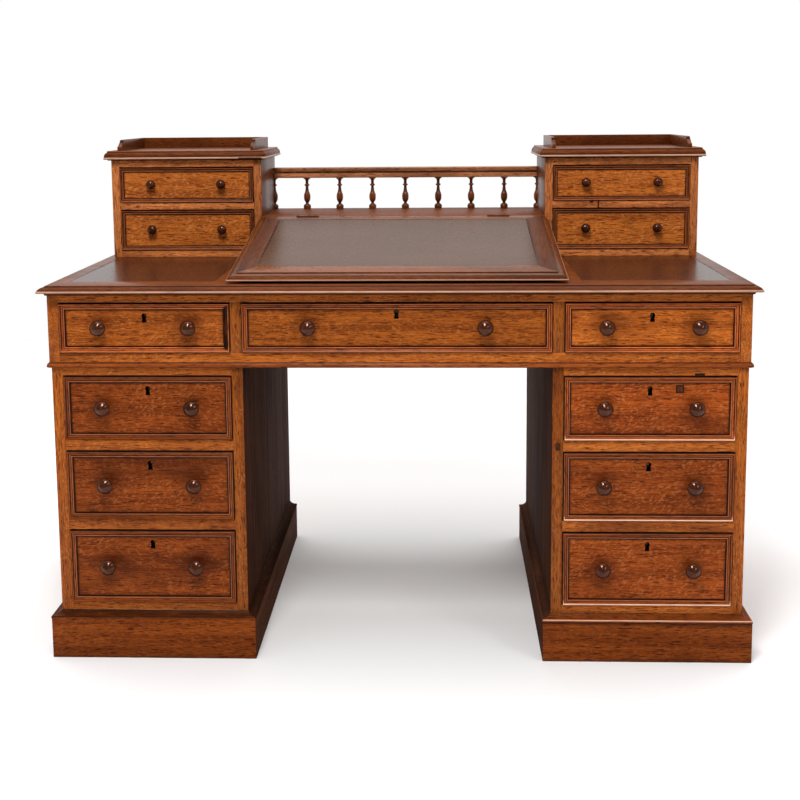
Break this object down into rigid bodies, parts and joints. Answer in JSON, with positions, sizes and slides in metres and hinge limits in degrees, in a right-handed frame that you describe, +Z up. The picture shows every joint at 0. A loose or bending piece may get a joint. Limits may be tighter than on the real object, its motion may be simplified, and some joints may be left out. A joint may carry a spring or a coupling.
{
  "type": "pedestal writing desk",
  "caption": "Oak pedestal writing desk with moulded drawers, turned knobs, a sloping hinged lid with a leather panel, and raised banks of small drawers joined by a spindle rail.",
  "frame": {"origin": "on the floor, under the middle of the overall box with knobs and mouldings", "axes": "+X along the desk to the right as seen by the sitter, +Y to the back, +Z up"},
  "size_m": [1.408, 0.7024, 1.035],
  "materials": {
    "oak": "waxed satin",
    "drawer_oak": "waxed satin",
    "knob_wood": "polished",
    "leather": "worn satin",
    "brass": "aged"
  },
  "bodies": {
    "desk": {"desktop": "oak", "desktop_leathers": "leather", "frieze_carcass": "oak", "frieze_rails": "oak", "frieze_runners": "oak", "gallery_left_case": "oak", "gallery_left_surround": "oak", "gallery_left_top": "oak", "gallery_right_case": "oak", "gallery_right_surround": "oak", "gallery_right_top": "oak", "pedestal_left_carcass": "oak", "pedestal_left_plinth": "oak", "pedestal_left_rails_and_runners": "oak", "pedestal_right_carcass": "oak", "pedestal_right_plinth": "oak", "pedestal_right_rails_and_runners": "oak", "shelf_hinge_leaves": "brass", "slope_bed": "oak", "spindle_rail": "oak", "spindles": "oak", "waist_bead": "oak"},
    "frieze_drawer_left": {"frieze_drawer_left": "drawer_oak", "frieze_drawer_left_knobs": "knob_wood", "frieze_drawer_left_lock": "brass"},
    "frieze_drawer_centre": {"frieze_drawer_centre": "drawer_oak", "frieze_drawer_centre_knobs": "knob_wood", "frieze_drawer_centre_lock": "brass"},
    "frieze_drawer_right": {"frieze_drawer_right": "drawer_oak", "frieze_drawer_right_knobs": "knob_wood", "frieze_drawer_right_lock": "brass"},
    "pedestal_left_drawer_top": {"pedestal_left_drawer_top": "drawer_oak", "pedestal_left_drawer_top_knobs": "knob_wood", "pedestal_left_drawer_top_lock": "brass"},
    "pedestal_left_drawer_middle": {"pedestal_left_drawer_middle": "drawer_oak", "pedestal_left_drawer_middle_knobs": "knob_wood", "pedestal_left_drawer_middle_lock": "brass"},
    "pedestal_left_drawer_bottom": {"pedestal_left_drawer_bottom": "drawer_oak", "pedestal_left_drawer_bottom_knobs": "knob_wood", "pedestal_left_drawer_bottom_lock": "brass"},
    "pedestal_right_drawer_top": {"pedestal_right_drawer_top": "drawer_oak", "pedestal_right_drawer_top_knobs": "knob_wood", "pedestal_right_drawer_top_lock": "brass"},
    "pedestal_right_drawer_middle": {"pedestal_right_drawer_middle": "drawer_oak", "pedestal_right_drawer_middle_knobs": "knob_wood", "pedestal_right_drawer_middle_lock": "brass"},
    "pedestal_right_drawer_bottom": {"pedestal_right_drawer_bottom": "drawer_oak", "pedestal_right_drawer_bottom_knobs": "knob_wood", "pedestal_right_drawer_bottom_lock": "brass"},
    "gallery_left_drawer_upper": {"gallery_left_drawer_upper": "drawer_oak", "gallery_left_drawer_upper_knobs": "knob_wood"},
    "gallery_left_drawer_lower": {"gallery_left_drawer_lower": "drawer_oak", "gallery_left_drawer_lower_knobs": "knob_wood"},
    "gallery_right_drawer_upper": {"gallery_right_drawer_upper": "drawer_oak", "gallery_right_drawer_upper_knobs": "knob_wood"},
    "gallery_right_drawer_lower": {"gallery_right_drawer_lower": "drawer_oak", "gallery_right_drawer_lower_knobs": "knob_wood"},
    "lid": {"lid_frame": "oak", "lid_leather": "leather", "lid_hinge_leaves": "brass"}
  },
  "joints": [
    {"name": "frieze_drawer_left_slide", "type": "slide", "parent": "desk", "child": "frieze_drawer_left", "axis": [0, -1, 0], "range_m": [0, 0.4]},
    {"name": "frieze_drawer_centre_slide", "type": "slide", "parent": "desk", "child": "frieze_drawer_centre", "axis": [0, -1, 0], "range_m": [0, 0.4]},
    {"name": "frieze_drawer_right_slide", "type": "slide", "parent": "desk", "child": "frieze_drawer_right", "axis": [0, -1, 0], "range_m": [0, 0.4]},
    {"name": "pedestal_left_drawer_top_slide", "type": "slide", "parent": "desk", "child": "pedestal_left_drawer_top", "axis": [0, -1, 0], "range_m": [0, 0.4]},
    {"name": "pedestal_left_drawer_middle_slide", "type": "slide", "parent": "desk", "child": "pedestal_left_drawer_middle", "axis": [0, -1, 0], "range_m": [0, 0.4]},
    {"name": "pedestal_left_drawer_bottom_slide", "type": "slide", "parent": "desk", "child": "pedestal_left_drawer_bottom", "axis": [0, -1, 0], "range_m": [0, 0.4]},
    {"name": "pedestal_right_drawer_top_slide", "type": "slide", "parent": "desk", "child": "pedestal_right_drawer_top", "axis": [0, -1, 0], "range_m": [0, 0.4]},
    {"name": "pedestal_right_drawer_middle_slide", "type": "slide", "parent": "desk", "child": "pedestal_right_drawer_middle", "axis": [0, -1, 0], "range_m": [0, 0.4]},
    {"name": "pedestal_right_drawer_bottom_slide", "type": "slide", "parent": "desk", "child": "pedestal_right_drawer_bottom", "axis": [0, -1, 0], "range_m": [0, 0.4]},
    {"name": "gallery_left_drawer_upper_slide", "type": "slide", "parent": "desk", "child": "gallery_left_drawer_upper", "axis": [0, -1, 0], "range_m": [0, 0.15]},
    {"name": "gallery_left_drawer_lower_slide", "type": "slide", "parent": "desk", "child": "gallery_left_drawer_lower", "axis": [0, -1, 0], "range_m": [0, 0.15]},
    {"name": "gallery_right_drawer_upper_slide", "type": "slide", "parent": "desk", "child": "gallery_right_drawer_upper", "axis": [0, -1, 0], "range_m": [0, 0.15]},
    {"name": "gallery_right_drawer_lower_slide", "type": "slide", "parent": "desk", "child": "gallery_right_drawer_lower", "axis": [0, -1, 0], "range_m": [0, 0.15]},
    {"name": "lid_hinge", "type": "hinge", "parent": "desk", "child": "lid", "pos_m": [0, 0.11011, 0.85679], "axis": [-1, 0, 0], "range_deg": [0, 95]}
  ]
}
